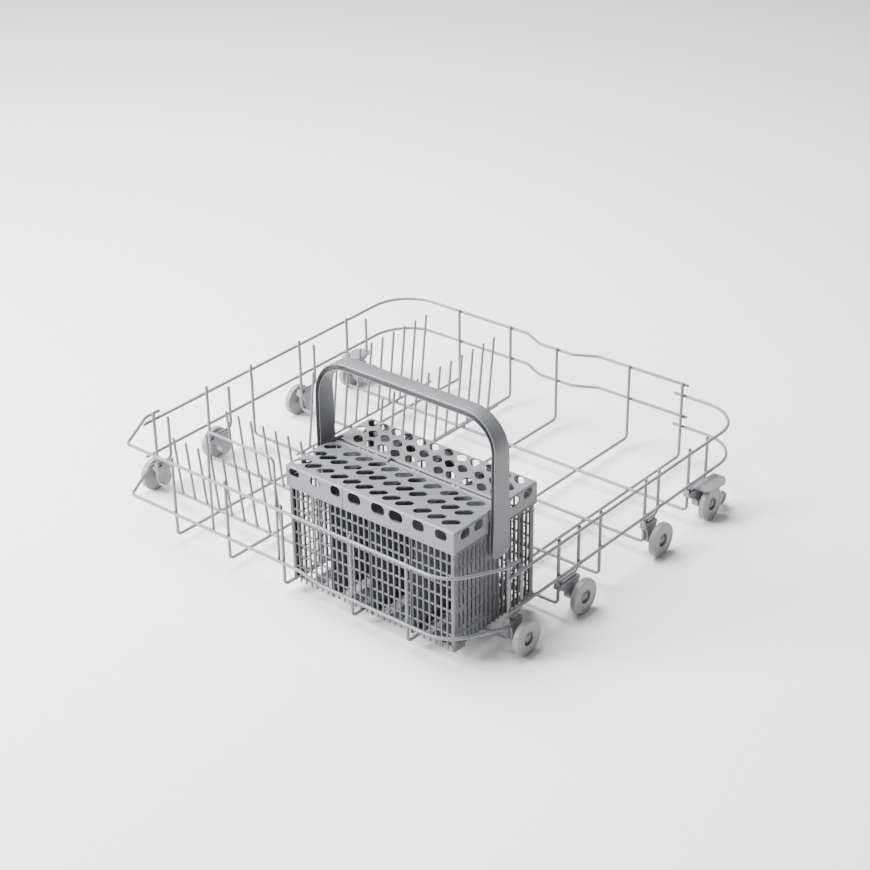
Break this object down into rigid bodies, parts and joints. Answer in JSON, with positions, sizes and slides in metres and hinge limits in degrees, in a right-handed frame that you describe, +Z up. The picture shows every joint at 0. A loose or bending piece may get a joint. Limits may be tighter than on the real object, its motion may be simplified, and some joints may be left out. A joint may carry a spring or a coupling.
{
  "type": "dishwasher lower rack",
  "caption": "Lower dishwasher rack of bent coated wire on eight small wheels, with plate tines, a divider loop and a lift-out cutlery basket with hinged slotted lids and a carrying handle.",
  "frame": {"origin": "on the ground the wheels roll on, under the middle of the rack", "axes": "+X to the right, +Y to the back, +Z up"},
  "size_m": [0.541, 0.4917, 0.246],
  "materials": {
    "coated_wire": "satin",
    "carrier_plastic": "satin",
    "wheel_plastic": "satin",
    "basket_plastic": "satin",
    "lid_plastic": "satin",
    "handle_plastic": "satin"
  },
  "bodies": {
    "rack": {"front_upper_rim_wire": "coated_wire", "front_lower_rim_wire": "coated_wire", "right_upper_rim_wire": "coated_wire", "right_lower_rim_wire": "coated_wire", "back_left_upper_rim_wire": "coated_wire", "back_left_lower_rim_wire": "coated_wire", "cross_wires": "coated_wire", "lengthwise_wires": "coated_wire", "right_stirrup_wires": "coated_wire", "left_stirrup_wires": "coated_wire", "front_side_plate_tines": "coated_wire", "second_side_plate_tines": "coated_wire", "left_dinner_plate_rod": "coated_wire", "right_dinner_plate_rod": "coated_wire", "left_dinner_plate_tines": "coated_wire", "right_dinner_plate_tines": "coated_wire", "divider_loop": "coated_wire", "right_wheel_carriers": "carrier_plastic", "left_wheel_carriers": "carrier_plastic"},
    "right_wheel_1": {"right_wheel_1": "wheel_plastic"},
    "right_wheel_2": {"right_wheel_2": "wheel_plastic"},
    "right_wheel_3": {"right_wheel_3": "wheel_plastic"},
    "right_wheel_4": {"right_wheel_4": "wheel_plastic"},
    "left_wheel_1": {"left_wheel_1": "wheel_plastic"},
    "left_wheel_2": {"left_wheel_2": "wheel_plastic"},
    "left_wheel_3": {"left_wheel_3": "wheel_plastic"},
    "left_wheel_4": {"left_wheel_4": "wheel_plastic"},
    "cutlery_basket": {"basket_front_wall": "basket_plastic", "basket_rear_wall": "basket_plastic", "basket_left_wall": "basket_plastic", "basket_right_wall": "basket_plastic", "basket_corner_posts": "basket_plastic", "basket_floor": "basket_plastic", "basket_long_divider": "basket_plastic", "basket_cross_dividers": "basket_plastic", "lid_hinge_lugs": "basket_plastic", "basket_handle": "handle_plastic"},
    "front_left_lid": {"front_left_lid_flap": "lid_plastic", "front_left_lid_aprons": "lid_plastic"},
    "front_right_lid": {"front_right_lid_flap": "lid_plastic", "front_right_lid_aprons": "lid_plastic"},
    "rear_lid": {"rear_lid_flap": "lid_plastic", "rear_lid_aprons": "lid_plastic"}
  },
  "joints": [
    {"name": "right_wheel_1_spin", "type": "hinge", "parent": "rack", "child": "right_wheel_1", "pos_m": [0.2623, -0.1726, 0.019], "axis": [1, 0, 0], "continuous": true},
    {"name": "right_wheel_2_spin", "type": "hinge", "parent": "rack", "child": "right_wheel_2", "pos_m": [0.2623, -0.0777, 0.019], "axis": [1, 0, 0], "continuous": true},
    {"name": "right_wheel_3_spin", "type": "hinge", "parent": "rack", "child": "right_wheel_3", "pos_m": [0.2623, 0.0621, 0.019], "axis": [1, 0, 0], "continuous": true},
    {"name": "right_wheel_4_spin", "type": "hinge", "parent": "rack", "child": "right_wheel_4", "pos_m": [0.2623, 0.1587, 0.019], "axis": [1, 0, 0], "continuous": true},
    {"name": "left_wheel_1_spin", "type": "hinge", "parent": "rack", "child": "left_wheel_1", "pos_m": [-0.2623, -0.1726, 0.019], "axis": [1, 0, 0], "continuous": true},
    {"name": "left_wheel_2_spin", "type": "hinge", "parent": "rack", "child": "left_wheel_2", "pos_m": [-0.2623, -0.0777, 0.019], "axis": [1, 0, 0], "continuous": true},
    {"name": "left_wheel_3_spin", "type": "hinge", "parent": "rack", "child": "left_wheel_3", "pos_m": [-0.2623, 0.0621, 0.019], "axis": [1, 0, 0], "continuous": true},
    {"name": "left_wheel_4_spin", "type": "hinge", "parent": "rack", "child": "left_wheel_4", "pos_m": [-0.2623, 0.1587, 0.019], "axis": [1, 0, 0], "continuous": true},
    {"name": "basket_lift", "type": "slide", "parent": "rack", "child": "cutlery_basket", "axis": [0, 0, 1], "range_m": [0, 0.2]},
    {"name": "front_left_lid_hinge", "type": "hinge", "parent": "cutlery_basket", "child": "front_left_lid", "pos_m": [0.045, -0.1624, 0.1472], "axis": [-1, 0, 0], "range_deg": [0, 70]},
    {"name": "front_right_lid_hinge", "type": "hinge", "parent": "cutlery_basket", "child": "front_right_lid", "pos_m": [0.15, -0.1624, 0.1472], "axis": [-1, 0, 0], "range_deg": [0, 70]},
    {"name": "rear_lid_hinge", "type": "hinge", "parent": "cutlery_basket", "child": "rear_lid", "pos_m": [0.113, -0.1556, 0.1472], "axis": [1, 0, 0], "range_deg": [0, 80]}
  ]
}
